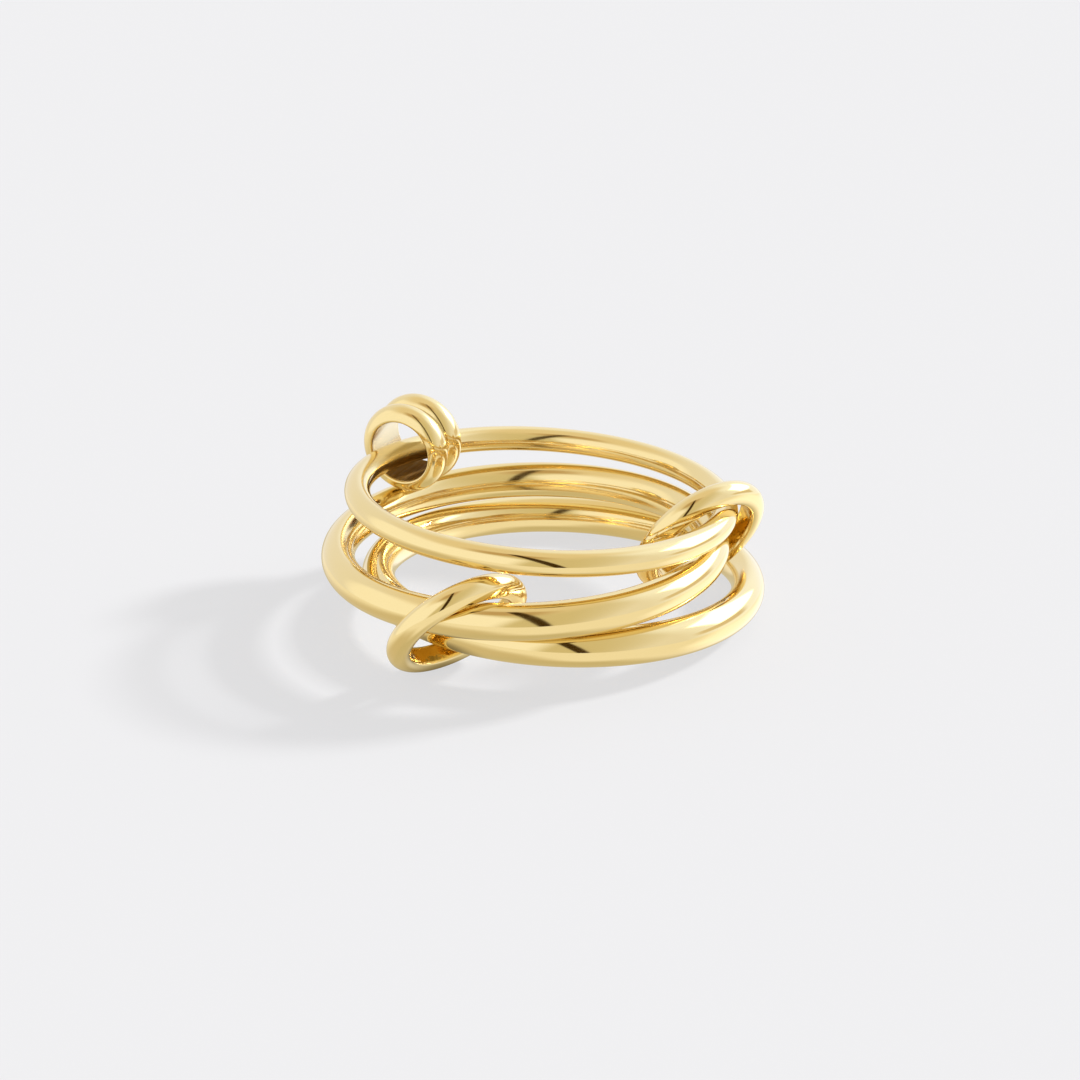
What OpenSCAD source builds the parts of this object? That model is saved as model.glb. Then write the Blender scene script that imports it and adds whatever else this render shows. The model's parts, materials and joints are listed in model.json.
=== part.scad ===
// Fidget ring of three loosely linked gold bands, lying on a table as it would by itself.
// Two small links hold the bands together, and a ridged bead rides on the thinnest band.
// The origin is on the table under the middle of the ring, +Z is up, and -Y is the front.

/* [Finger size] */
// Inner diameter of all three bands
ring_inner_d = 17.3; // [14:0.1:22]

/* [Top band] */
// Diameter of its round wire
top_wire_d = 1.3; // [1:0.05:1.6]
// Centre, from left to right
top_x = -0.12; // [-1:0.01:1]
// Centre, from front to back
top_y = -0.2; // [-1:0.01:1]
// Centre, above the table
top_z = 6.45; // [6:0.01:8]
// Lean in degrees about the left to right line, negative lifts the front
top_pitch = -2.9; // [-6:0.1:6]
// Lean in degrees about the front to back line, positive lifts the left side
top_roll = 3.7; // [-6:0.1:6]

/* [Middle band] */
// Width along the finger
middle_w = 1.9; // [1.5:0.05:2.4]
// Thickness from the finger outwards
middle_t = 1.7; // [1.4:0.05:1.8]
// Centre, from left to right
middle_x = -0.96; // [-2:0.01:2]
// Centre, from front to back
middle_y = -0.48; // [-2:0.01:2]
// Centre, above the table
middle_z = 3.87; // [3:0.01:5]
// Lean in degrees about the left to right line, negative lifts the front
middle_pitch = -1.2; // [-6:0.1:6]
// Lean in degrees about the front to back line, positive lifts the left side
middle_roll = -1.3; // [-6:0.1:6]

/* [Bottom band] */
// Width along the finger
bottom_w = 2; // [1.5:0.05:2.4]
// Thickness from the finger outwards
bottom_t = 1.7; // [1.4:0.05:1.8]
// Centre, from left to right
bottom_x = 0.97; // [-2:0.01:2]
// Centre, from front to back
bottom_y = 0.72; // [-2:0.01:2]
// Centre, above the table
bottom_z = 1.63; // [1.4:0.01:3]
// Lean in degrees about the left to right line, negative lifts the front
bottom_pitch = -3; // [-6:0.1:6]
// Lean in degrees about the front to back line, positive lifts the left side
bottom_roll = 2.3; // [-6:0.1:6]
// Radius of the rounded edges of the middle and bottom bands
band_edge_r = 0.6; // [0.4:0.05:0.65]

/* [Links] */
// Inner diameter of both links
link_inner_d = 5.5; // [5:0.1:6]
// Diameter of the wire that both links are made of
link_wire_d = 1.25; // [1:0.05:1.4]
// Depth by which the wire is flattened on the inside of a link
link_flat = 0.25; // [0.05:0.05:0.4]
// Bevel along the edges of a link's flat inner wall
link_bevel = 0.08; // [0.02:0.01:0.15]

/* [Front link] */
// Compass place on the ring, in degrees from the right, anticlockwise
front_at = 242.4; // [200:0.1:270]
// Centre, outwards from the middle of the two wires that it holds
front_out = -0.27; // [-1:0.01:1]
// Centre, above the middle of the two wires that it holds
front_up = 0.02; // [-1:0.01:1]
// Compass direction of its axis in degrees
front_turn = -54.8; // [-90:0.1:0]
// Rise of its axis above level in degrees
front_rise = -37.1; // [-60:0.1:0]

/* [Right link] */
// Compass place on the ring, in degrees from the right, anticlockwise
right_at = 357.5; // [330:0.1:390]
// Centre, outwards from the middle of the two wires that it holds
right_out = -0.96; // [-1.5:0.01:1.5]
// Centre, above the middle of the two wires that it holds
right_up = -0.46; // [-1:0.01:1]
// Compass direction of its axis in degrees
right_turn = -54.4; // [-90:0.1:0]
// Rise of its axis above level in degrees
right_rise = -29.6; // [-60:0.1:0]

/* [Bead] */
// Diameter of its bore
bead_bore_d = 3.3; // [3:0.05:3.6]
// Thickness from the bore to the top of a ridge
bead_wall = 0.75; // [0.75:0.01:0.9]
// Length along its own axis, which is two ridges
bead_len = 2.96; // [2.6:0.04:3]
// Depth of the groove between its two ridges
bead_groove = 0.42; // [0.2:0.01:0.5]
// Bevel at both mouths of the bore
bead_bevel = 0.08; // [0.02:0.01:0.12]
// Compass place on the ring, in degrees from the right, anticlockwise
bead_at = 136.4; // [100:0.1:170]
// Centre, above the middle of the wire that runs through it
bead_up = 0.41; // [0:0.01:0.8]
// Compass direction of its axis in degrees
bead_turn = 62.8; // [30:0.1:90]
// Rise of its axis above level in degrees
bead_rise = 2.8; // [-10:0.1:10]

/* [Hidden] */
$fn = 96;

gold = "#E0C27A";

// Places of the bands: centre, pitch and roll
top_place = [[top_x, top_y, top_z], top_pitch, top_roll];
middle_place = [[middle_x, middle_y, middle_z], middle_pitch, middle_roll];
bottom_place = [[bottom_x, bottom_y, bottom_z], bottom_pitch, bottom_roll];

// Radius of the middle of each wire
top_mid_r = (ring_inner_d + top_wire_d) / 2;
middle_mid_r = (ring_inner_d + middle_t) / 2;
bottom_mid_r = (ring_inner_d + bottom_t) / 2;

// A vector turned as rotate([pitch, roll, 0]) turns it
function pitched(v, a) = [v.x, v.y * cos(a) - v.z * sin(a), v.y * sin(a) + v.z * cos(a)];
function rolled(v, a) = [v.x * cos(a) + v.z * sin(a), v.y, v.z * cos(a) - v.x * sin(a)];
// The level direction at a compass angle
function compass(a) = [cos(a), sin(a), 0];
// The middle of a band's wire at a compass angle
function wire_at(place, mid_r, a) = place[0] + rolled(pitched(mid_r * compass(a), place[1]), place[2]);
// The centre of a link, from the middle of its two wires
function link_centre(wire_a, wire_b, at, out, up) = (wire_a + wire_b) / 2 + out * compass(at) + [0, 0, up];

front_centre = link_centre(
    wire_at(middle_place, middle_mid_r, front_at),
    wire_at(bottom_place, bottom_mid_r, front_at),
    front_at, front_out, front_up);
right_centre = link_centre(
    wire_at(top_place, top_mid_r, right_at),
    wire_at(middle_place, middle_mid_r, right_at),
    right_at, right_out, right_up);
bead_centre = wire_at(top_place, top_mid_r, bead_at) + [0, 0, bead_up];

// A sector of a disc about a point on the X axis, from -half to +half degrees
module sector(centre_x, r, half) {
    fan = [for (step = [-2:2]) 2 * r * [cos(step * half / 2), sin(step * half / 2)]];
    translate([centre_x, 0])
        intersection() {
            circle(r = r);
            polygon(concat([[0, 0]], fan));
        }
}

// A smooth oval of four tangent arcs, w high and t wide, with ends of radius edge_r
module oval_section(w, t, edge_r) {
    end_y = w / 2 - edge_r;
    dome_x = (end_y ^ 2 - (t / 2 - edge_r) ^ 2) / (t - 2 * edge_r);
    dome_r = t / 2 + dome_x;
    half = atan2(end_y, dome_x);
    sector(-dome_x, dome_r, half);
    mirror([1, 0]) sector(-dome_x, dome_r, half);
    for (side = [-1, 1]) translate([0, side * end_y]) circle(r = edge_r);
}

// A round wire flattened to a wall at x = 0, t thick there, with both edges bevelled by bevel
module flattened_section(wire_d, t, bevel) {
    wire_x = t - wire_d / 2;
    corner_y = sqrt((wire_d / 2) ^ 2 - wire_x ^ 2);
    slope = atan2(corner_y, -wire_x) / 2;
    far = 4 * wire_d * [cos(slope), sin(slope)];
    flat_y = corner_y - bevel;
    intersection() {
        translate([wire_x, 0]) circle(d = wire_d);
        polygon([[0, -flat_y], [far.x, -flat_y - far.y], [far.x, flat_y + far.y], [0, flat_y]]);
    }
}

// Puts a band at its place
module placed(place) {
    translate(place[0]) rotate([place[1], place[2], 0]) children();
}

// Puts a link or the bead at its centre, with its axis at a compass turn and a rise
module aimed(centre, turn, rise) {
    translate(centre) rotate([0, 90 - rise, turn]) children();
}

module band_top() {
    color(gold)
        placed(top_place)
            rotate_extrude() translate([top_mid_r, 0]) circle(d = top_wire_d);
}

module band_middle() {
    color(gold)
        placed(middle_place)
            rotate_extrude() translate([middle_mid_r, 0]) oval_section(middle_w, middle_t, band_edge_r);
}

module band_bottom() {
    color(gold)
        placed(bottom_place)
            rotate_extrude() translate([bottom_mid_r, 0]) oval_section(bottom_w, bottom_t, band_edge_r);
}

module link_body() {
    rotate_extrude()
        translate([link_inner_d / 2, 0])
            flattened_section(link_wire_d, link_wire_d - link_flat, link_bevel);
}

module link_front() {
    color(gold) aimed(front_centre, front_turn, front_rise) link_body();
}

module link_right() {
    color(gold) aimed(right_centre, right_turn, right_rise) link_body();
}

// Two half-round ridges side by side on a thin tube, with bevelled mouths
module bead_section() {
    bore_r = bead_bore_d / 2;
    ridge_r = bead_len / 4;
    ridge_x = bore_r + bead_wall - ridge_r;
    groove_x = bore_r + bead_wall - bead_groove;
    flat_y = bead_len / 2 - bead_bevel;
    intersection() {
        union() {
            for (side = [-1, 1]) translate([ridge_x, side * ridge_r]) circle(r = ridge_r);
            translate([0, -ridge_r]) square([groove_x, 2 * ridge_r]);
        }
        polygon([
            [bore_r, -flat_y],
            [bore_r + bead_len, -flat_y - bead_len],
            [bore_r + bead_len, flat_y + bead_len],
            [bore_r, flat_y],
        ]);
    }
}

module bead() {
    color(gold) aimed(bead_centre, bead_turn, bead_rise) rotate_extrude() bead_section();
}

band_top();
band_middle();
band_bottom();
link_right();
link_front();
bead();
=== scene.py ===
import json
import math
from collections import namedtuple

import bpy
import numpy as np
from bpy.props import FloatProperty, FloatVectorProperty, IntProperty, PointerProperty
from mathutils import Matrix, Vector


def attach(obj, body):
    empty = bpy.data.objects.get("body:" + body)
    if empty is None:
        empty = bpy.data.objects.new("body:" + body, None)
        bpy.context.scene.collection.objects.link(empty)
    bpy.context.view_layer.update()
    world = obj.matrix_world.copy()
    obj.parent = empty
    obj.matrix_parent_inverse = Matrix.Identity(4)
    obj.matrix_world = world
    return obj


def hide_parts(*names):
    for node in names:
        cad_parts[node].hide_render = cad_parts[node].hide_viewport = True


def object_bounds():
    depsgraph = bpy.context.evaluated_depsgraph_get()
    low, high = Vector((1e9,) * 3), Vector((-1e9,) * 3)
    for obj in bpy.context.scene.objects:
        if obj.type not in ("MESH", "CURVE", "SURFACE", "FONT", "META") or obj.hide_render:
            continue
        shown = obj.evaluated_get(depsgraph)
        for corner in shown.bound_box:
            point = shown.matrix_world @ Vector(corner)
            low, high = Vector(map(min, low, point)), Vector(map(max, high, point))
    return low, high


# A fidget ring of three loosely linked gold bands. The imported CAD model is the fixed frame: every piece
# here is a finer, buffed surface on the same axis and with the same section as the node that it replaces.
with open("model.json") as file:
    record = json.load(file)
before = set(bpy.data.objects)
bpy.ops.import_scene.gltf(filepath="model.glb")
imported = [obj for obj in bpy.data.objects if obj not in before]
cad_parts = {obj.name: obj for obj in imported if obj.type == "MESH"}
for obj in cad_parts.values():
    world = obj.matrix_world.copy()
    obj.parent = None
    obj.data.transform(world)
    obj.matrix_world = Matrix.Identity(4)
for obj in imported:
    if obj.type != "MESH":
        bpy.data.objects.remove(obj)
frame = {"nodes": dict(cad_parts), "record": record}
cad_box = [list(corner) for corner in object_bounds()]

bl_info = {
    "name": "Fidget ring",
    "version": (1, 0, 0),
    "blender": (4, 5, 0),
    "location": "3D View > Sidebar > Fidget ring",
    "description": "Polished gold bands, links and a spinning bead on a CAD frame, in a small studio",
    "category": "Object",
}

MM = 0.001

# Which body each CAD node belongs to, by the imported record
BODY_OF = {node: body for body, nodes in frame["record"]["behaviour"]["bodies"].items() for node in nodes}


def linear(hex_colour):
    """An sRGB hex colour as the linear red, green and blue that shaders work in."""
    channels = [int(hex_colour[i:i + 2], 16) / 255 for i in (1, 3, 5)]
    return tuple(c / 12.92 if c <= 0.04045 else ((c + 0.055) / 1.055) ** 2.4 for c in channels)


# What the frame says


class Lay:
    """Where a turned CAD node lies: its centre, its axis with two directions across it, and its radii."""

    def __init__(self, node):
        corners = node_triangles(node)
        volume = np.einsum("ij,ij->i", corners[:, 0], np.cross(corners[:, 1], corners[:, 2])) / 6
        total = corners.sum(1)
        self.centre = (volume[:, None] * total / 4).sum(0) / volume.sum()
        # Second moments of the volume, as tetrahedra between the origin and each triangle
        moments = np.einsum("tki,tkj->tij", corners, corners) + np.einsum("ti,tj->tij", total, total)
        spread = (volume[:, None, None] * moments).sum(0) / 20 / volume.sum()
        spread -= np.outer(self.centre, self.centre)
        # The spread of volume is least along the axis that the node was turned about
        self.axis = np.linalg.eigh(spread)[1][:, 0]
        self.axis *= np.sign(self.axis[np.argmax(np.abs(self.axis))])
        self.across = np.cross([0.0, 1.0, 0.0], self.axis)
        self.across /= np.linalg.norm(self.across)
        self.along = np.cross(self.axis, self.across)
        points = corners.reshape(-1, 3) - self.centre
        height = points @ self.axis
        radius = np.linalg.norm(points - height[:, None] * self.axis, axis=1)
        self.inner = radius.min()
        self.outer = radius.max()
        self.width = 2 * np.abs(height).max()


def node_triangles(node):
    """The corners of a CAD node's triangles in metres, as an array of (triangles, 3, 3)."""
    mesh = frame["nodes"][node].data
    mesh.calc_loop_triangles()
    places = np.empty(len(mesh.vertices) * 3, np.float32)
    mesh.vertices.foreach_get("co", places)
    triangles = np.empty(len(mesh.loop_triangles) * 3, np.int32)
    mesh.loop_triangles.foreach_get("vertices", triangles)
    return places.reshape(-1, 3).astype(float)[triangles.reshape(-1, 3)]


# Section outlines: closed, anticlockwise, as columns of radius and height in metres

# Points on each arc of an outline
ARC_POINTS = 240

# How many times finer an outline is spaced while it is buffed
FINER = 8


def arc(centre, radius, start, end):
    """Points on a circle: centre + radius (cos a, sin a), with a from start to end in radians."""
    turn = np.linspace(start, end, ARC_POINTS)
    return np.stack([centre[0] + radius * np.cos(turn), centre[1] + radius * np.sin(turn)], axis=1)


def leaves_circle(start, slope, centre, radius):
    """Where a line that starts inside a circle leaves it, as an angle at the centre. It leaves at the
    distance sqrt(b^2 - |p|^2 + r^2) - b, where p is the start seen from the centre and b is p along it."""
    ahead = np.array([math.cos(slope), math.sin(slope)])
    offset = np.subtract(start, centre)
    along = offset @ ahead
    reach = math.sqrt(along ** 2 - offset @ offset + radius ** 2) - along
    x, y = offset + reach * ahead
    return math.atan2(y, x)


def round_outline(lay):
    """A round wire: one circle between the inner and the outer radius."""
    radius = (lay.outer - lay.inner) / 2
    return arc((lay.inner + radius, 0), radius, -math.pi, math.pi)


def oval_outline(lay, edge_r):
    """A smooth oval: two wide arcs outside and inside, and two end arcs of radius r tangent to them. The
    wide arcs' centres lie (e^2 - (t/2 - r)^2) / (t - 2r) beyond the middle, where t is the thickness and
    e is half the width less r."""
    thickness = lay.outer - lay.inner
    middle = (lay.outer + lay.inner) / 2
    end = lay.width / 2 - edge_r
    shift = (end ** 2 - (thickness / 2 - edge_r) ** 2) / (thickness - 2 * edge_r)
    dome_r = thickness / 2 + shift
    half = math.atan2(end, shift)
    return np.concatenate([
        arc((middle - shift, 0), dome_r, -half, half),
        arc((middle, end), edge_r, half, math.pi - half),
        arc((middle + shift, 0), dome_r, math.pi - half, math.pi + half),
        arc((middle, -end), edge_r, math.pi + half, 2 * math.pi - half),
    ])


def link_outline(lay, bevel):
    """A round wire with a flat wall at the inner radius. A bevel that starts its own size from the wall's
    edge, and slopes halfway between the wall and the wire, cuts each corner."""
    wire_r = lay.width / 2
    wire_at = lay.outer - wire_r
    corner = math.sqrt(wire_r ** 2 - (wire_at - lay.inner) ** 2)
    wall_top = corner - bevel
    slope = math.atan2(corner, lay.inner - wire_at) / 2
    reach = leaves_circle((lay.inner, wall_top), slope, (wire_at, 0), wire_r)
    return np.concatenate([
        arc((wire_at, 0), wire_r, -reach, reach),
        [[lay.inner, wall_top], [lay.inner, -wall_top]],
    ])


def bead_outline(lay, groove, bevel):
    """Two half-round ridges side by side on a thin tube. Each ridge is a quarter of the length in radius,
    the groove between them has a narrow flat floor, and the bore's mouths are bevelled at 45 degrees."""
    ridge_r = lay.width / 4
    ridge_at = lay.outer - ridge_r
    floor_at = lay.outer - groove
    wall_top = 2 * ridge_r - bevel
    dip = math.acos((floor_at - ridge_at) / ridge_r)
    mouth = leaves_circle((lay.inner, wall_top), math.pi / 4, (ridge_at, ridge_r), ridge_r)
    return np.concatenate([
        arc((ridge_at, -ridge_r), ridge_r, -mouth, dip),
        arc((ridge_at, ridge_r), ridge_r, -dip, mouth),
        [[lay.inner, wall_top], [lay.inner, -wall_top]],
    ])


def spaced(outline, count):
    """The closed outline again, with count points at equal steps of its length, and that length."""
    closed = np.concatenate([outline, outline[:1]])
    length = np.concatenate([[0], np.cumsum(np.linalg.norm(np.diff(closed, axis=0), axis=1))])
    steps = np.linspace(0, length[-1], count, endpoint=False)
    return np.stack([np.interp(steps, length, closed[:, k]) for k in (0, 1)], axis=1), length[-1]


def buffed(outline, count, reach):
    """The outline as the buffing wheel leaves it: a running Gaussian mean over the distance reach takes
    the sharpness off every corner and leaves the long curves as they are."""
    fine_count = FINER * count
    fine, length = spaced(outline, fine_count)
    waves = np.fft.fftfreq(fine_count, length / fine_count)
    kept = np.exp(-2 * (math.pi * waves * reach) ** 2)
    soft = np.fft.ifft(np.fft.fft(fine, axis=0) * kept[:, None], axis=0)
    return spaced(soft.real, count)[0]


def outward(outline):
    """An outline's normals, a quarter turn clockwise from the way that it runs."""
    tangent = np.roll(outline, -1, axis=0) - np.roll(outline, 1, axis=0)
    tangent /= np.linalg.norm(tangent, axis=1)[:, None]
    return np.stack([tangent[:, 1], -tangent[:, 0]], axis=1)


# Turned surfaces

# How a piece was worked. Inner and outer satin say how far the buffing wheel missed the inside and the
# outside of the hoop, deep says how strongly a flat inner wall gets dimples from tumbling
# and a painted shade of darker amber, and reamed says whether that wall was reamed
Working = namedtuple("Working", "inner_satin outer_satin deep reamed")
BAND_WORKING = Working(inner_satin=0.3, outer_satin=0.0, deep=0.0, reamed=False)
LINK_WORKING = Working(inner_satin=0.1, outer_satin=0.0, deep=1.0, reamed=False)
BEAD_WORKING = Working(inner_satin=1.0, outer_satin=0.2, deep=0.0, reamed=True)

# Waves that polishing by hand leaves: how many go round the hoop and round its section, and their phases
POLISH_WAVES = ((7, 1, 0.4, 1.1), (11, 2, 2.3, 0.2), (17, 1, 4.0, 2.6), (26, 3, 1.2, 3.9))

# A flat inner wall lies this near to the inner radius and faces the axis this squarely, as a cosine. It
# takes up more than this share of the section, which the inside of a round or an oval wire doesn't
WALL_NEAR = 0.02 * MM
WALL_FACING = 0.98
WALL_SHARE = 0.1

# Share of the height that is kept where the marks in a reamed bore are read
REAMED_DRAW = 0.03

# Where the painted shade on the lower side of a reamed bore starts and is whole: how far under the axis, as
# shares of the bore's radius
PAINTED_SHADE_STARTS = 0.1
PAINTED_SHADE_WHOLE = 0.6


def hand_polish(turn, section, depth):
    """Slow waves that polishing by hand leaves: the sum of depth (7 / m) cos(m a + p) cos(n s + q) over
    the waves, with whole numbers m round the hoop and n round its section, so the surface closes without
    a seam. The slowest wave has m = 7."""
    total = 0
    for hoop, ring, hoop_phase, ring_phase in POLISH_WAVES:
        total = total + np.cos(hoop * turn + hoop_phase) * np.cos(ring * section + ring_phase) / hoop
    return POLISH_WAVES[0][0] * depth * total


def flat_wall(lay, outline, normal):
    """Which points of an outline lie on a flat inner wall."""
    wall = (outline[:, 0] - lay.inner < WALL_NEAR) & (normal[:, 0] < -WALL_FACING)
    return wall & (wall.sum() > WALL_SHARE * len(outline))


def pattern_places(lay, outline, turn, height, wall, reamed):
    """Where each point reads the pattern of marks. It is the section carried round a small circle, which
    draws the pattern out along the hoop. A reamed piece keeps its real circle, and its bore's height is
    flattened, which draws the pattern out along the axis there."""
    circle_r = outline[:, 0] + (0 if reamed else lay.width / 2 - outline[:, 0].min())
    flattened = height * np.where(wall & reamed, REAMED_DRAW, 1.0)
    return np.stack([circle_r * np.cos(turn), circle_r * np.sin(turn), flattened], axis=-1)


def finish_shares(normal, spoke, wall, working):
    """What the finish is at each point, in shares from 0 to 1. Satin goes from the outer to the inner share
    with
    1/2 - n, where n is the normal's part away from the axis. The dimples with their painted shade, and
    bare, are on the flat inner wall. The painted shade on the bore is a smooth step down the lower half of
    a bare wall, a dark brown that stands for the shade under the wire."""
    inward = np.clip(0.5 - normal[:, 0], 0, 1)
    bare = wall & working.reamed
    below = np.clip((-spoke[..., 2] - PAINTED_SHADE_STARTS) / (PAINTED_SHADE_WHOLE - PAINTED_SHADE_STARTS), 0, 1)
    return {
        "satin": working.outer_satin + (working.inner_satin - working.outer_satin) * inward,
        "deep": working.deep * wall,
        "bare": bare,
        "painted_bore_shade": bare * below * below * (3 - 2 * below),
    }


def grid_faces(steps, count):
    """The quads of a grid closed both ways, with steps round the hoop and count points to a section."""
    here = np.arange(steps)[:, None] * count
    ahead = np.roll(here, -1, axis=0)
    point = np.arange(count)[None, :]
    beside = np.roll(point, -1, axis=1)
    quads = np.stack([here + point, ahead + point, ahead + beside, here + beside], axis=-1)
    return quads.reshape(-1, 4)


def turned_piece(name, lay, outline, steps, polish_depth, working):
    """A surface of revolution with a point at centre + r (across cos a + along sin a) + h axis, for each
    outline point (r, h) and each of the equal turns a. Its attributes carry what the finish needs."""
    count = len(outline)
    turn = np.linspace(0, 2 * math.pi, steps, endpoint=False)[:, None]
    section = np.linspace(0, 2 * math.pi, count, endpoint=False)[None, :]
    normal = outward(outline)
    lift = hand_polish(turn, section, polish_depth)
    radius = outline[:, 0] + lift * normal[:, 0]
    height = outline[:, 1] + lift * normal[:, 1]
    spoke = np.cos(turn)[..., None] * lay.across + np.sin(turn)[..., None] * lay.along
    places = lay.centre + radius[..., None] * spoke + height[..., None] * lay.axis

    mesh = bpy.data.meshes.new(name)
    mesh.from_pydata(places.reshape(-1, 3).tolist(), [], grid_faces(steps, count).tolist())
    mesh.polygons.foreach_set("use_smooth", np.ones(len(mesh.polygons), bool))
    wall = flat_wall(lay, outline, normal)
    lined = pattern_places(lay, outline, turn, height, wall, working.reamed).astype(np.float32)
    mesh.attributes.new("lined_at", "FLOAT_VECTOR", "POINT").data.foreach_set("vector", lined.ravel())
    for what, share in finish_shares(normal, spoke, wall, working).items():
        values = np.broadcast_to(share, height.shape).astype(np.float32)
        mesh.attributes.new(what, "FLOAT", "POINT").data.foreach_set("value", values.ravel())
    piece = bpy.data.objects.new(name, mesh)
    bpy.context.scene.collection.objects.link(piece)
    return piece


def fit_to_frame(piece, node):
    """The piece stands for the CAD node, rides on its body and takes the gold finish."""
    piece.data.materials.append(polished_gold_plate())
    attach(piece, BODY_OF[node])
    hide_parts(node)


# Finishes


def add_node(tree, kind, settings=None, links=None):
    """Adds one node. Settings are by attribute or input, and links join an input to another's output."""
    node = tree.nodes.new(kind)
    for key, value in (settings or {}).items():
        if isinstance(key, str) and hasattr(node, key):
            setattr(node, key, value)
        else:
            node.inputs[key].default_value = value
    for key, socket in (links or {}).items():
        tree.links.new(socket, node.inputs[key])
    return node


def new_material(name):
    """An empty material, and its node tree."""
    material = bpy.data.materials.new(name)
    material.use_nodes = True
    material.node_tree.nodes.clear()
    return material, material.node_tree


# Real sizes in the gold: patches of colour, wiping marks, haze, and dimples from tumbling. The marks are
# drawn as coarse as the render can show
PATCH_WIDTH = 3 * MM
MARK_WIDTH = 0.05 * MM
MARK_DEPTH = 0.002 * MM
HAZE_WIDTH = 1.2 * MM
DIMPLE_WIDTH = 0.25 * MM
DIMPLE_DEPTH = 0.012 * MM

# Strength of the marks on buffed gold, and where the wheel missed it
MARKS_BUFFED = 0.01
MARKS_MISSED = 0.12

# What thick haze adds to the roughness, and the values of noise between which it sets in
HAZE = 0.05
HAZE_FROM = 0.35
HAZE_TO = 0.75

# What the marks leave of the painted shade on the bore, and the values of noise between which they cut into
# it
PAINTED_SHADE_LEFT = 0.9
STREAKS_FROM = 0.35
STREAKS_TO = 0.65


def gold_colour(tree, place, deep, bare, painted_shade_cover):
    """The plating's colour drifts a little from patch to patch. The links' inner walls are painted a darker
    amber, as painted shade inside their holes. The plating hardly reaches the bead's reamed bore, where the
    silver shows, and the bore's lower side is painted dark brown, as painted shade under the wire."""
    finish = bpy.context.scene.ring_finish
    drift = add_node(tree, "ShaderNodeTexNoise", {"Scale": 1 / PATCH_WIDTH, "Detail": 2.0}, {
        "Vector": place,
    })
    colour = add_node(tree, "ShaderNodeMix", {
        "data_type": "RGBA", 6: (*finish.gold, 1), 7: (*finish.gold_deep, 1),
    }, {0: drift.outputs["Fac"]}).outputs[2]
    for over, share in ((finish.link_wall_painted_shade, deep), (finish.bore, bare), (finish.painted_bore_shade, painted_shade_cover)):
        colour = add_node(tree, "ShaderNodeMix", {"data_type": "RGBA", 7: (*over, 1)}, {
            0: share, 6: colour,
        }).outputs[2]
    return colour


def gold_roughness(tree, place, satin):
    """Handling leaves a thin haze in places, and gold that the wheel missed is satin."""
    finish = bpy.context.scene.ring_finish
    haze = add_node(tree, "ShaderNodeTexNoise", {"Scale": 1 / HAZE_WIDTH, "Detail": 4.0}, {"Vector": place})
    gloss = add_node(tree, "ShaderNodeMapRange", {
        "From Min": HAZE_FROM, "From Max": HAZE_TO,
        "To Min": finish.polish, "To Max": finish.polish + HAZE,
    }, {"Value": haze.outputs["Fac"]})
    return add_node(tree, "ShaderNodeMix", {"data_type": "FLOAT", 3: finish.satin}, {
        0: satin, 2: gloss.outputs["Result"],
    }).outputs[0]


def gold_relief(tree, place, marks, satin, deep):
    """Wiping marks show most where the wheel missed the gold. Dimples from tumbling stay on the links'
    inner walls, where they break the light into sparkles."""
    strength = add_node(tree, "ShaderNodeMapRange", {"To Min": MARKS_BUFFED, "To Max": MARKS_MISSED}, {
        "Value": satin,
    })
    scored = add_node(tree, "ShaderNodeBump", {"Distance": MARK_DEPTH}, {
        "Height": marks, "Strength": strength.outputs["Result"],
    })
    dimples = add_node(tree, "ShaderNodeTexNoise", {"Scale": 1 / DIMPLE_WIDTH, "Detail": 1.0}, {
        "Vector": place,
    })
    return add_node(tree, "ShaderNodeBump", {"Distance": DIMPLE_DEPTH}, {
        "Height": dimples.outputs["Fac"], "Strength": deep, "Normal": scored.outputs["Normal"],
    }).outputs["Normal"]


def polished_gold_plate():
    """Yellow gold plating over silver, buffed to a mirror. It gives the eye sharp warm reflections that
    turn amber where gold reflects gold, hair-fine marks from wiping, and softer reflections on the inner
    walls of the bands and in the bead's bore. Painted shade darkens the links' inner walls and the bore's
    lower side."""
    name = "polished_gold_plate"
    if name in bpy.data.materials:
        return bpy.data.materials[name]
    material, tree = new_material(name)
    place = add_node(tree, "ShaderNodeTexCoord").outputs["Object"]
    lined = add_node(tree, "ShaderNodeAttribute", {"attribute_name": "lined_at"}).outputs["Vector"]
    satin, deep, bare, painted_bore_shade = (
        add_node(tree, "ShaderNodeAttribute", {"attribute_name": what}).outputs["Fac"]
        for what in ("satin", "deep", "bare", "painted_bore_shade")
    )
    marks = add_node(tree, "ShaderNodeTexNoise", {
        "Scale": 1 / MARK_WIDTH, "Detail": 3.0, "Roughness": 0.6,
    }, {"Vector": lined}).outputs["Fac"]
    streaks = add_node(tree, "ShaderNodeMapRange", {
        "From Min": STREAKS_FROM, "From Max": STREAKS_TO, "To Min": 1.0, "To Max": PAINTED_SHADE_LEFT,
    }, {"Value": marks})
    # Painted shade on the bore's lower side, broken a little by the marks; it also takes the metal away
    # there
    painted_shade_cover = add_node(tree, "ShaderNodeMath", {"operation": "MULTIPLY"}, {
        0: painted_bore_shade, 1: streaks.outputs["Result"],
    }).outputs[0]
    metal = add_node(tree, "ShaderNodeMath", {"operation": "SUBTRACT", 0: 1.0}, {1: painted_shade_cover}).outputs[0]
    shader = add_node(tree, "ShaderNodeBsdfPrincipled", {"Specular IOR Level": 0.0}, {
        "Base Color": gold_colour(tree, place, deep, bare, painted_shade_cover), "Metallic": metal,
        "Roughness": gold_roughness(tree, place, satin),
        "Normal": gold_relief(tree, place, marks, satin, deep),
    })
    add_node(tree, "ShaderNodeOutputMaterial", None, {"Surface": shader.outputs["BSDF"]})
    return material


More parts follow.
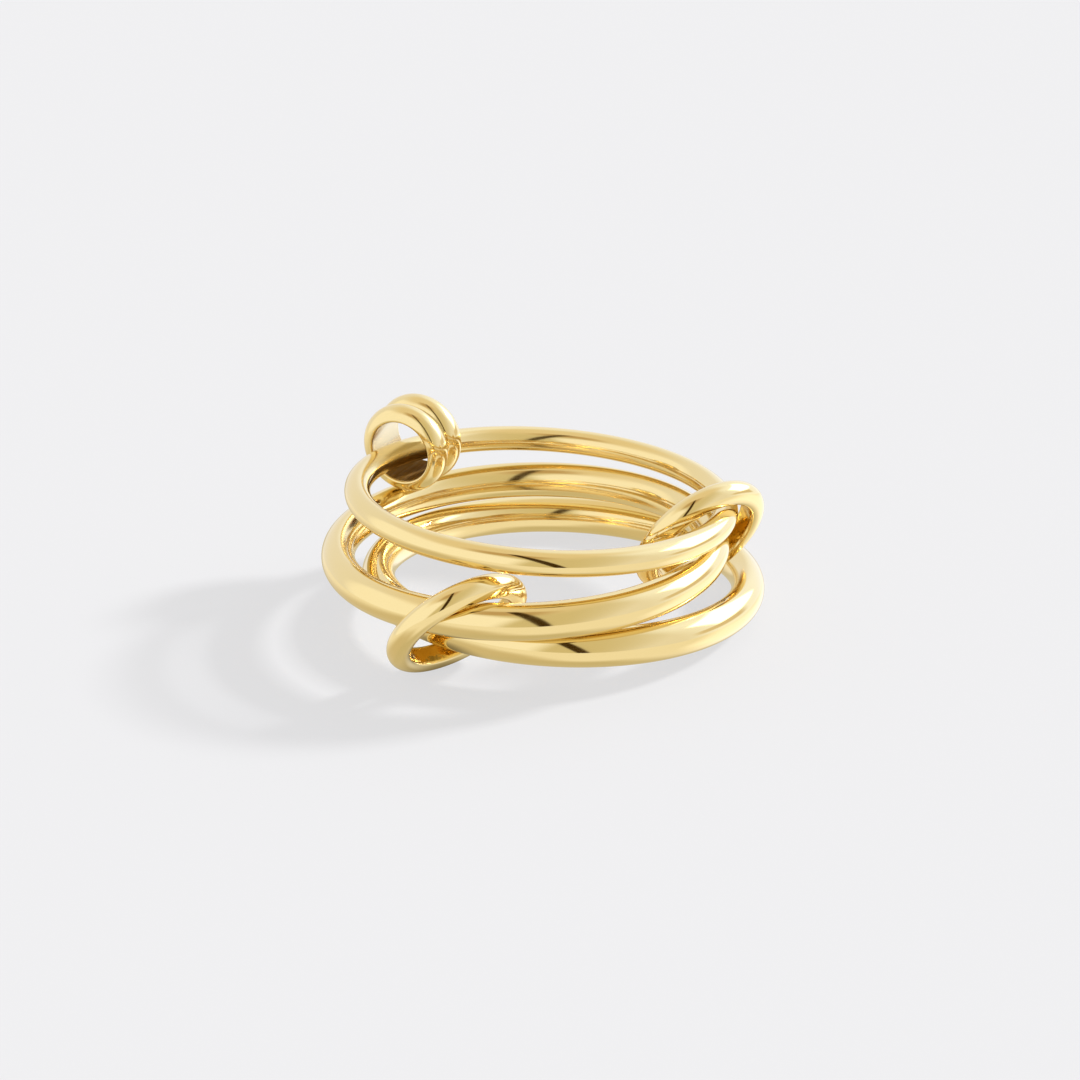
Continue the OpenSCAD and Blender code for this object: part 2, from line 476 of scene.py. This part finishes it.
def lit_acrylic():
    """White acrylic sheet over a light table: its own even glow takes the weight out of the shadows, and
    the matt face shows no reflections."""
    studio = bpy.context.scene.ring_studio
    material, tree = new_material("lit_acrylic")
    shader = add_node(tree, "ShaderNodeBsdfPrincipled", {
        "Base Color": (*(studio.floor_share * channel for channel in studio.floor_colour), 1),
        "Roughness": 0.6, "Specular IOR Level": 0.0,
        "Emission Color": (*studio.floor_colour, 1), "Emission Strength": studio.floor_glow,
    })
    add_node(tree, "ShaderNodeOutputMaterial", None, {"Surface": shader.outputs["BSDF"]})
    return material


def gilt_card():
    """Card with a gilt face, rolled smooth. It gives back the dome warmer and a little blurred."""
    studio = bpy.context.scene.ring_studio
    material, tree = new_material("gilt_card")
    shader = add_node(tree, "ShaderNodeBsdfPrincipled", {
        "Base Color": (*studio.card_colour, 1), "Metallic": 1.0, "Roughness": 0.2,
    })
    add_node(tree, "ShaderNodeOutputMaterial", None, {"Surface": shader.outputs["BSDF"]})
    return material


def shade_card(middle, core, radius):
    """Thin grey card, whole in its core and gone at the radius, with a smooth step between. It dims what
    lies behind it and shows a dim warm grey of its own."""
    studio = bpy.context.scene.ring_studio
    material, tree = new_material("shade_card")
    place = add_node(tree, "ShaderNodeTexCoord").outputs["Object"]
    away = add_node(tree, "ShaderNodeVectorMath", {"operation": "DISTANCE", 1: middle}, {0: place})
    strength = add_node(tree, "ShaderNodeMapRange", {
        "interpolation_type": "SMOOTHSTEP", "From Min": core, "From Max": radius,
        "To Min": studio.shade, "To Max": 0.0,
    }, {"Value": away.outputs["Value"]})
    clear = add_node(tree, "ShaderNodeBsdfTransparent")
    grey = add_node(tree, "ShaderNodeEmission", {"Color": (*studio.shade_colour, 1)})
    mix = add_node(tree, "ShaderNodeMixShader", None, {
        0: strength.outputs["Result"], 1: clear.outputs[0], 2: grey.outputs[0],
    })
    add_node(tree, "ShaderNodeOutputMaterial", None, {"Surface": mix.outputs[0]})
    return material


# The studio: a pale dome of soft panels, a floor and the camera

# A flat panel of light, seen from the ring. Azimuth 0 is the camera's side and 90 is the right, tilt leans
# the panel's top towards lower azimuths, and these angles, the width and the height are in degrees. Taper
# is the share of the width that is gone at the top, and the edges are the shares of the half width and of
# the half height over which the panel fades out. Each panel hides those before it.
Panel = namedtuple("Panel", "azimuth elevation width height tilt taper side_edge end_edge light tint")
PANELS = {
    "right flag": Panel(5, 38, 78, 106, 0, 0, 0.8, 0.1, 0.77, "#FFF5D4"),
    "left reflector": Panel(-63, 15, 102, 80, 0, 0, 0.25, 0.3, 1.22, "#FAFBFF"),
    "key glow": Panel(128, 2, 92, 130, 0, 0, 0.7, 0.6, 1.5, "#E4ECFF"),
    "softbox stand": Panel(100, 2, 42, 12, 0, 0, 0.3, 0.3, 0.85, "#FFF0D8"),
    "key softbox": Panel(119, 26, 46, 32, 0, 0, 0.12, 0.12, 3.2, "#FFFFFF"),
    "key lamp": Panel(115.3, 31.5, 7.5, 7.5, 0, 0, 0.2, 0.2, 420.0, "#FFFFFF"),
    "zenith": Panel(-110, 82, 62, 62, 0, 0, 0.6, 0.6, 0.92, "#FFF3DC"),
    "dark corner": Panel(-20, 65, 32, 22, 0, 0, 0.6, 0.5, 0.62, "#FFE0AF"),
    "curtain gap": Panel(4.8, 25, 9, 104, 9.4, 0.25, 0.25, 0.15, 0.06, "#FFC159"),
    "ground": Panel(90, -90, 154, 154, 0, 0, 0.04, 0.04, 1.06, "#FFFCF6"),
    "lit ground": Panel(126, -32, 66, 40, 0, 0, 0.5, 0.5, 1.5, "#F6F8FF"),
    "shaded ground": Panel(-115, -62, 110, 70, 0, 0, 0.5, 0.5, 0.75, "#FFF3D6"),
    "ground behind": Panel(184, -46, 38, 70, 0, 0, 0.3, 0.15, 0.68, "#FFF4D2"),
    "nadir": Panel(90, -90, 44, 44, 0, 0, 0.6, 0.6, 0.7, "#FFF5D6"),
}

# A direction falls on a panel only if its part towards the panel's middle is larger than this
LEAST_AHEAD = 0.05
# A tapered panel keeps at least this share of its width
LEAST_WIDTH = 0.01

# Half the floor's side, and how far the floor lies under the ring's lowest point
FLOOR_HALF = 2000 * MM
FLOOR_GAP = 0.002 * MM

# The gilt card's radius and its place from the bottom band's middle, as shares of the band's inner radius,
# the number of its sides, and how far it lies over the ring's lowest point
CARD_RADIUS = 0.8
CARD_SHIFT = 0.17 * np.array([0.8, -0.6, 0.0])
CARD_SIDES = 96
CARD_LEVEL = 0.05 * MM

# The grey card's radius, the radius of its core, and how far it lies over the ring's lowest point
SHADE_RADIUS = 3.2 * MM
SHADE_CORE = 0.64 * MM
SHADE_LEVEL = 0.03 * MM


def bearing(azimuth, elevation):
    """The direction at an azimuth and an elevation in degrees, azimuth 0 being the camera's side."""
    a, e = math.radians(azimuth), math.radians(elevation)
    return Vector((math.sin(a) * math.cos(e), -math.cos(a) * math.cos(e), math.sin(e)))


def panel_share(tree, direction, panel):
    """How much of a direction falls on a panel, from 0 to 1. The direction is projected on the panel's
    plane as x and y, and the share is fade(|x| / (1 - k)) fade(|y|), where k is the taper times the height
    above the lower end, and fade is a smooth step over the edge."""
    middle = bearing(panel.azimuth, panel.elevation)
    level = bearing(panel.azimuth + 90, 0)
    lean = Matrix.Rotation(math.radians(panel.tilt), 3, middle)
    half_width = math.tan(math.radians(panel.width / 2))
    half_height = math.tan(math.radians(panel.height / 2))
    ahead, right, up = (
        add_node(tree, "ShaderNodeVectorMath", {"operation": "DOT_PRODUCT", 1: axis}, {0: direction})
        for axis in (middle, lean @ level, lean @ middle.cross(level))
    )
    x, y = (
        add_node(tree, "ShaderNodeMath", {"operation": "DIVIDE"}, {
            0: part.outputs["Value"], 1: ahead.outputs["Value"],
        })
        for part in (right, up)
    )
    narrowing = add_node(tree, "ShaderNodeMath", {
        "operation": "MULTIPLY_ADD", 1: -panel.taper / 2 / half_height, 2: 1 - panel.taper / 2,
    }, {0: y.outputs[0]})
    width = add_node(tree, "ShaderNodeMath", {"operation": "MAXIMUM", 1: LEAST_WIDTH}, {
        0: narrowing.outputs[0],
    })
    across = add_node(tree, "ShaderNodeMath", {"operation": "DIVIDE"}, {
        0: x.outputs[0], 1: width.outputs[0],
    })
    share = add_node(tree, "ShaderNodeMath", {"operation": "GREATER_THAN", 1: LEAST_AHEAD}, {
        0: ahead.outputs["Value"],
    })
    for place, half, edge in ((across, half_width, panel.side_edge), (y, half_height, panel.end_edge)):
        away = add_node(tree, "ShaderNodeMath", {"operation": "ABSOLUTE"}, {0: place.outputs[0]})
        fade = add_node(tree, "ShaderNodeMapRange", {
            "interpolation_type": "SMOOTHSTEP",
            "From Min": half * (1 - edge), "From Max": half * (1 + edge), "To Min": 1.0, "To Max": 0.0,
        }, {"Value": away.outputs[0]})
        share = add_node(tree, "ShaderNodeMath", {"operation": "MULTIPLY"}, {
            0: share.outputs[0], 1: fade.outputs["Result"],
        })
    return share.outputs[0]


def light_dome():
    """The soft light: a pale dome with its panels in front of it. The camera itself sees a plain pale
    ground."""
    studio = bpy.context.scene.ring_studio
    world = bpy.data.worlds.new("light_dome")
    world.use_nodes = True
    bpy.context.scene.world = world
    tree = world.node_tree
    tree.nodes.clear()
    direction = add_node(tree, "ShaderNodeTexCoord").outputs["Generated"]
    dome = [studio.dome * channel for channel in studio.dome_colour]
    light = add_node(tree, "ShaderNodeCombineColor", dict(enumerate(dome))).outputs[0]
    for panel in PANELS.values():
        colour = [panel.light * channel for channel in linear(panel.tint)]
        light = add_node(tree, "ShaderNodeMix", {"data_type": "RGBA", 7: (*colour, 1)}, {
            0: panel_share(tree, direction, panel), 6: light,
        }).outputs[2]
    soft = add_node(tree, "ShaderNodeBackground", None, {"Color": light})
    plain = add_node(tree, "ShaderNodeBackground", {"Color": (*studio.backdrop, 1)})
    eye = add_node(tree, "ShaderNodeLightPath")
    mix = add_node(tree, "ShaderNodeMixShader", None, {
        0: eye.outputs["Is Camera Ray"], 1: soft.outputs[0], 2: plain.outputs[0],
    })
    add_node(tree, "ShaderNodeOutputWorld", None, {"Surface": mix.outputs[0]})


def stage_piece(name, corners, material):
    """A flat piece of the studio with its corners in order, which isn't part of the ring."""
    mesh = bpy.data.meshes.new(name)
    mesh.from_pydata(corners, [], [tuple(range(len(corners)))])
    mesh.materials.append(material)
    piece = bpy.data.objects.new(name, mesh)
    bpy.context.scene.collection.objects.link(piece)
    return piece


def square(middle, half):
    """The corners of a level square."""
    x, y, level = middle
    return [(x + i * half, y + j * half, level) for i, j in ((-1, -1), (1, -1), (1, 1), (-1, 1))]


def show_to_gold_only(card):
    """Reflections alone show the card: the camera doesn't, and no soft light or shadow comes from it."""
    card.visible_camera = False
    card.visible_diffuse = False
    card.visible_shadow = False


def floor_board():
    """A square board just under the ring's lowest point. It is matt and out of the gold's reflections,
    which show the dome's ground instead."""
    corners = square((0, 0, cad_box[0][2] - FLOOR_GAP), FLOOR_HALF)
    board = stage_piece("floor", corners, lit_acrylic())
    board.visible_glossy = False


def reflection_card():
    """A round gilt card inside the bottom band, towards its front right, which only reflections show. It is
    a
    painted reflection: it gives the lower half of the inner walls their darker, warmer colour, and stands
    for the shaded floor inside the ring and for gold reflecting gold."""
    lay = Lay("band_bottom")
    radius = CARD_RADIUS * lay.inner
    x, y = (lay.centre + CARD_SHIFT * lay.inner)[:2]
    level = cad_box[0][2] + CARD_LEVEL
    turns = np.linspace(0, 2 * math.pi, CARD_SIDES, endpoint=False)
    corners = [(x + radius * math.cos(a), y + radius * math.sin(a), level) for a in turns]
    show_to_gold_only(stage_piece("reflection_card", corners, gilt_card()))


def contact_shade():
    """A grey card under the front link's lowest point. It stands for the shade where the link touches the
    floor, which the dome's ground can't have."""
    lay = Lay("link_front")
    down = np.array([0.0, 0.0, -1.0])
    down -= (down @ lay.axis) * lay.axis
    foot = lay.centre + lay.outer * down / np.linalg.norm(down)
    middle = (foot[0], foot[1], cad_box[0][2] + SHADE_LEVEL)
    material = shade_card(middle, SHADE_CORE, SHADE_RADIUS)
    show_to_gold_only(stage_piece("contact_shade", square(middle, SHADE_RADIUS), material))


def eye_level_camera():
    """The camera at the photograph's angle: it looks at a point over the middle of the ring."""
    studio = bpy.context.scene.ring_studio
    camera = bpy.data.objects.new("camera", bpy.data.cameras.new("camera"))
    camera.data.sensor_width = 36.0
    camera.data.lens = studio.lens
    camera.data.clip_start = 1 * MM
    camera.data.clip_end = 10.0
    target = Vector(studio.aim)
    back = bearing(0, math.degrees(studio.camera_elevation))
    camera.location = target + studio.camera_distance * back
    look = (-back).to_track_quat("-Z", "Y").to_matrix()
    roll = Matrix.Rotation(studio.camera_roll, 3, "Z")
    camera.rotation_euler = (look @ roll).to_euler()
    bpy.context.scene.collection.objects.link(camera)
    bpy.context.scene.camera = camera


# What a user would change


class RingShape(bpy.types.PropertyGroup):
    """Shapes of the sections that the CAD radii don't give."""

    band_edge: FloatProperty(
        name="Band edge radius", description="Radius of the rounded edges of the middle and bottom bands",
        default=0.6 * MM, min=0.4 * MM, max=0.65 * MM, unit="LENGTH", precision=5)
    link_bevel: FloatProperty(
        name="Link bevel", description="Bevel along the edges of a link's flat inner wall",
        default=0.08 * MM, min=0.02 * MM, max=0.15 * MM, unit="LENGTH", precision=5)
    bead_groove: FloatProperty(
        name="Bead groove", description="Depth of the groove between the bead's two ridges",
        default=0.42 * MM, min=0.2 * MM, max=0.5 * MM, unit="LENGTH", precision=5)
    bead_bevel: FloatProperty(
        name="Bead bevel", description="Bevel at both mouths of the bead's bore",
        default=0.08 * MM, min=0.02 * MM, max=0.12 * MM, unit="LENGTH", precision=5)
    buffing: FloatProperty(
        name="Buffing", description="Distance over which buffing rounds the corners of a section",
        default=0.03 * MM, min=0.005 * MM, max=0.08 * MM, unit="LENGTH", precision=6)
    polish_depth: FloatProperty(
        name="Polish waves", description="Depth of the slow waves that polishing by hand leaves",
        default=0.0006 * MM, min=0.0, max=0.005 * MM, unit="LENGTH", precision=7)
    hoop_steps: IntProperty(
        name="Band steps", description="Steps round a band. A link and the bead have half as many",
        default=720, min=90, max=1200)
    section_steps: IntProperty(
        name="Section steps", description="Steps round a section. The bead's section has twice as many",
        default=96, min=24, max=160)


class RingFinish(bpy.types.PropertyGroup):
    """Colours and gloss of the gold."""

    gold: FloatVectorProperty(
        name="Gold", description="Colour of the plating where it is fresh", subtype="COLOR",
        default=linear("#ECD79E"), min=0.0, max=1.0)
    gold_deep: FloatVectorProperty(
        name="Deep gold", description="Colour of the plating where it is thicker", subtype="COLOR",
        default=linear("#EBD497"), min=0.0, max=1.0)
    # Painted shade: the darker amber on the links' inner walls, inside their holes
    link_wall_painted_shade: FloatVectorProperty(
        name="Link wall", description="Colour of the thick plating on the links' inner walls",
        subtype="COLOR", default=linear("#DDBB68"), min=0.0, max=1.0)
    bore: FloatVectorProperty(
        name="Bore", description="Colour of the bead's reamed bore, where the silver shows",
        subtype="COLOR", default=linear("#D6C9A8"), min=0.0, max=1.0)
    # Painted shade: the dark brown on the lower side of the bead's bore, under the wire
    painted_bore_shade: FloatVectorProperty(
        name="Film", description="Colour of the film of polish on the lower side of the bore",
        subtype="COLOR", default=linear("#714E14"), min=0.0, max=1.0)
    polish: FloatProperty(
        name="Polish", description="Roughness of the buffed gold",
        default=0.05, min=0.0, max=1.0, subtype="FACTOR")
    satin: FloatProperty(
        name="Satin", description="Roughness where the wheel missed the gold, as in the bead's bore",
        default=0.25, min=0.0, max=1.0, subtype="FACTOR")


class RingStudio(bpy.types.PropertyGroup):
    """The floor, the light and the camera."""

    floor_colour: FloatVectorProperty(
        name="Floor", description="Colour of the board that the ring lies on", subtype="COLOR",
        default=linear("#F0F0F2"), min=0.0, max=1.0)
    floor_share: FloatProperty(
        name="Floor share", description="Share of the light falling on the floor that it gives back",
        default=0.115, min=0.0, max=1.0, subtype="FACTOR")
    floor_glow: FloatProperty(
        name="Floor glow", description="Brightness of the light table under the floor",
        default=0.745, min=0.0, max=2.0)
    backdrop: FloatVectorProperty(
        name="Backdrop", description="Colour behind the floor's edge", subtype="COLOR",
        default=linear("#F0F0F2"), min=0.0, max=1.0)
    # The gilt card is a painted reflection of the shaded floor inside the ring
    card_colour: FloatVectorProperty(
        name="Card", description="Colour of the gilt card that the inner walls reflect", subtype="COLOR",
        default=linear("#F9E9C3"), min=0.0, max=1.0)
    shade_colour: FloatVectorProperty(
        name="Shade colour", description="Colour of the shade under the front link, in reflections",
        subtype="COLOR", default=linear("#7C7359"), min=0.0, max=1.0)
    shade: FloatProperty(
        name="Shade", description="Strength of the shade under the front link, in reflections",
        default=0.9, min=0.0, max=1.0, subtype="FACTOR")
    dome_colour: FloatVectorProperty(
        name="Dome colour", description="Tint of the soft light", subtype="COLOR",
        default=linear("#FAFAFF"), min=0.0, max=1.0)
    dome: FloatProperty(
        name="Dome light", description="Brightness of the dome between its panels",
        default=1.02, min=0.0, max=10.0)
    camera_elevation: FloatProperty(
        name="Elevation", description="Height of the camera above the floor, as an angle",
        default=math.radians(23.37), subtype="ANGLE")
    camera_roll: FloatProperty(
        name="Roll", description="Turn of the camera about its own line of sight",
        default=math.radians(-0.32), subtype="ANGLE")
    camera_distance: FloatProperty(
        name="Distance", description="From the camera to the point that it looks at",
        default=148.6 * MM, unit="LENGTH")
    aim: FloatVectorProperty(
        name="Aim", description="Point in the middle of the picture", subtype="TRANSLATION",
        default=(-0.21 * MM, -0.672 * MM, 4.304 * MM))
    lens: FloatProperty(
        name="Lens", description="Focal length in millimetres", default=97.75, unit="CAMERA")


# The steps that a user runs


class FIDGET_RING_OT_bands(bpy.types.Operator):
    """Make the three bands: a round wire on top and two oval ones under it"""

    bl_idname = "fidget_ring.bands"
    bl_label = "Make bands"

    def execute(self, context):
        shape = context.scene.ring_shape
        names = {"band_top": "top_band", "band_middle": "middle_band", "band_bottom": "bottom_band"}
        for node, name in names.items():
            lay = Lay(node)
            outline = round_outline(lay) if node == "band_top" else oval_outline(lay, shape.band_edge)
            outline = buffed(outline, shape.section_steps, shape.buffing)
            piece = turned_piece(name, lay, outline, shape.hoop_steps, shape.polish_depth, BAND_WORKING)
            fit_to_frame(piece, node)
        return {"FINISHED"}


class FIDGET_RING_OT_links(bpy.types.Operator):
    """Make the two links that hold the bands together"""

    bl_idname = "fidget_ring.links"
    bl_label = "Make links"

    def execute(self, context):
        shape = context.scene.ring_shape
        steps = shape.hoop_steps // 2
        names = {"link_right": "right_link", "link_front": "front_link"}
        for node, name in names.items():
            lay = Lay(node)
            outline = buffed(link_outline(lay, shape.link_bevel), shape.section_steps, shape.buffing)
            piece = turned_piece(name, lay, outline, steps, shape.polish_depth, LINK_WORKING)
            fit_to_frame(piece, node)
        return {"FINISHED"}


class FIDGET_RING_OT_bead(bpy.types.Operator):
    """Make the ridged bead that spins on the top band"""

    bl_idname = "fidget_ring.bead"
    bl_label = "Make bead"

    def execute(self, context):
        shape = context.scene.ring_shape
        steps = shape.hoop_steps // 2
        lay = Lay("bead")
        outline = bead_outline(lay, shape.bead_groove, shape.bead_bevel)
        outline = buffed(outline, 2 * shape.section_steps, shape.buffing)
        piece = turned_piece("spinning_bead", lay, outline, steps, shape.polish_depth, BEAD_WORKING)
        fit_to_frame(piece, "bead")
        return {"FINISHED"}


class FIDGET_RING_OT_stage(bpy.types.Operator):
    """Set up the floor, the soft light and the camera"""

    bl_idname = "fidget_ring.stage"
    bl_label = "Set up the studio"

    def execute(self, context):
        floor_board()
        reflection_card()
        contact_shade()
        light_dome()
        eye_level_camera()
        context.scene.view_settings.view_transform = "Standard"
        return {"FINISHED"}


class FIDGET_RING_PT_panel(bpy.types.Panel):
    """Lists the sizes, the colours and the steps"""

    bl_label = "Fidget ring"
    bl_idname = "FIDGET_RING_PT_panel"
    bl_space_type = "VIEW_3D"
    bl_region_type = "UI"
    bl_category = "Fidget ring"

    def draw(self, context):
        scene = context.scene
        groups = {"Shape": scene.ring_shape, "Finish": scene.ring_finish, "Studio": scene.ring_studio}
        for heading, group in groups.items():
            box = self.layout.box()
            box.label(text=heading)
            for name in group.__annotations__:
                box.prop(group, name)
        for operator in OPERATORS:
            self.layout.operator(operator.bl_idname)


OPERATORS = (FIDGET_RING_OT_bands, FIDGET_RING_OT_links, FIDGET_RING_OT_bead, FIDGET_RING_OT_stage)
CLASSES = (RingShape, RingFinish, RingStudio, *OPERATORS, FIDGET_RING_PT_panel)


def register():
    """Registers the classes, and adds their properties to every scene."""
    for one in CLASSES:
        bpy.utils.register_class(one)
    bpy.types.Scene.ring_shape = PointerProperty(type=RingShape)
    bpy.types.Scene.ring_finish = PointerProperty(type=RingFinish)
    bpy.types.Scene.ring_studio = PointerProperty(type=RingStudio)


def unregister():
    """Takes the properties and the classes away again."""
    del bpy.types.Scene.ring_studio
    del bpy.types.Scene.ring_finish
    del bpy.types.Scene.ring_shape
    for one in reversed(CLASSES):
        bpy.utils.unregister_class(one)


def main():
    """Makes the ring and its studio."""
    register()
    bpy.ops.fidget_ring.bands()
    bpy.ops.fidget_ring.links()
    bpy.ops.fidget_ring.bead()
    bpy.ops.fidget_ring.stage()


if __name__ == "__main__":
    main()
